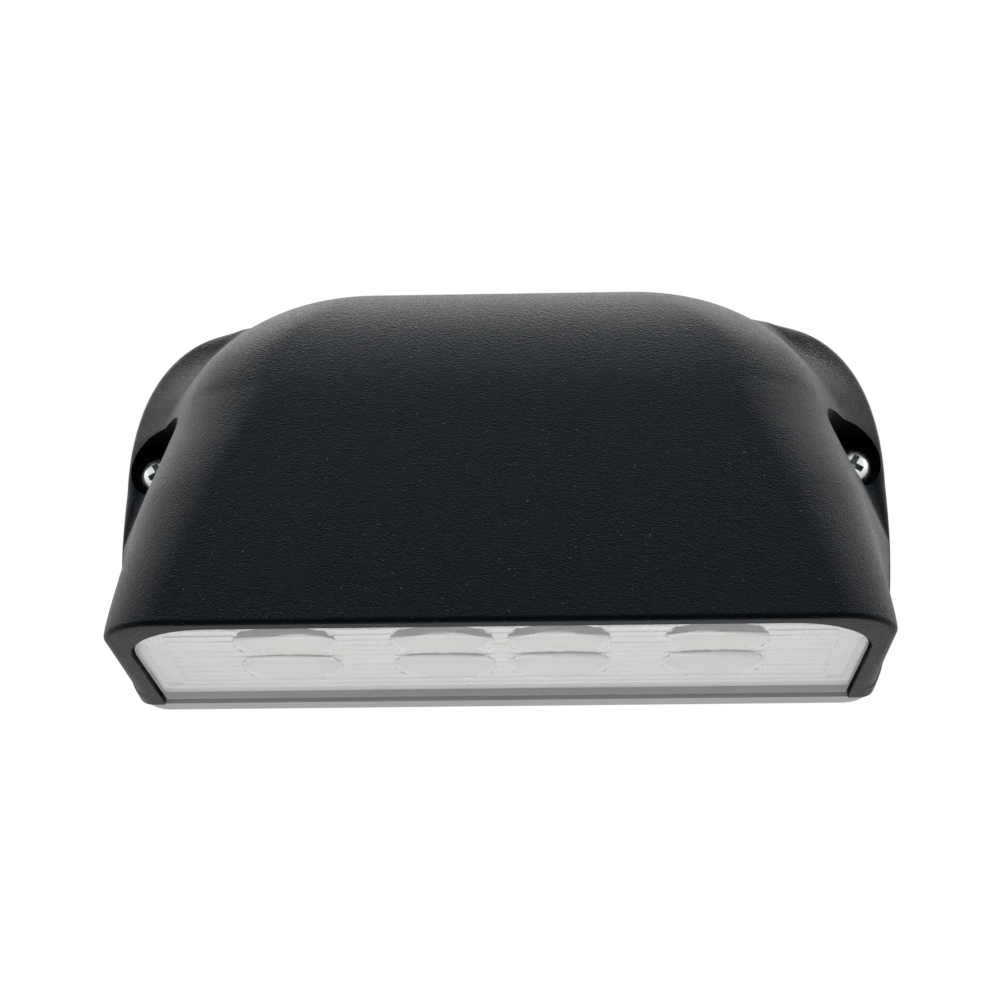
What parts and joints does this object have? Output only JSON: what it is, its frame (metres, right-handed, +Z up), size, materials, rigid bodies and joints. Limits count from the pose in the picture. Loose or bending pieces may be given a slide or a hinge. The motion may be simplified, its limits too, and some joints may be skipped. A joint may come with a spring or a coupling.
{
  "type": "number plate lamp",
  "caption": "Surface-mounted number plate lamp: wide arched black hood with two screw ears over a tilted clear fluted lens, with a white reflector and LED board inside.",
  "frame": {"origin": "on the back face of the base plate, midway between the two fixing screws", "axes": "+X to the viewer's right as seen from the front, +Y out of the back of the lamp into the vehicle panel, +Z up; the hood stands out along -Y and the lens faces down"},
  "size_m": [0.1356, 0.064, 0.0733],
  "materials": {
    "hood_plastic": "fine-grain satin black",
    "base_plastic": "matt light grey",
    "seal_rubber": "matt black rubber",
    "lens_clear": "clear polycarbonate, smooth outside, fluted inside",
    "reflector_white": "glossy white",
    "board_white": "white solder mask on glass fibre board",
    "led_body": "white package with yellow phosphor",
    "chip_black": "matt moulded black",
    "resistor_ceramic": "glazed ceramic",
    "can_aluminium": "bare aluminium can",
    "terminal_green": "glossy green",
    "zinc_steel": "bright zinc plate",
    "plain_steel": "zinc plate"
  },
  "bodies": {
    "root": {"hood": "hood_plastic", "base_plate": "base_plastic", "base_seal": "seal_rubber", "lens": "lens_clear", "lens_seal": "seal_rubber", "reflector": "reflector_white", "circuit_board": "board_white", "led_1": "led_body", "led_2": "led_body", "led_3": "led_body", "led_4": "led_body", "led_5": "led_body", "led_6": "led_body", "led_7": "led_body", "led_8": "led_body", "driver_chip": "chip_black", "input_diode": "chip_black", "surge_diode": "chip_black", "resistor_1": "resistor_ceramic", "resistor_2": "resistor_ceramic", "capacitor": "can_aluminium", "terminal_block": "terminal_green", "cord_grommet": "seal_rubber", "fixing_screw_left": "zinc_steel", "fixing_screw_right": "zinc_steel", "base_screw_1": "plain_steel", "base_screw_2": "plain_steel", "base_screw_3": "plain_steel", "base_screw_4": "plain_steel", "board_screw_1": "plain_steel", "board_screw_2": "plain_steel"}
  },
  "joints": []
}
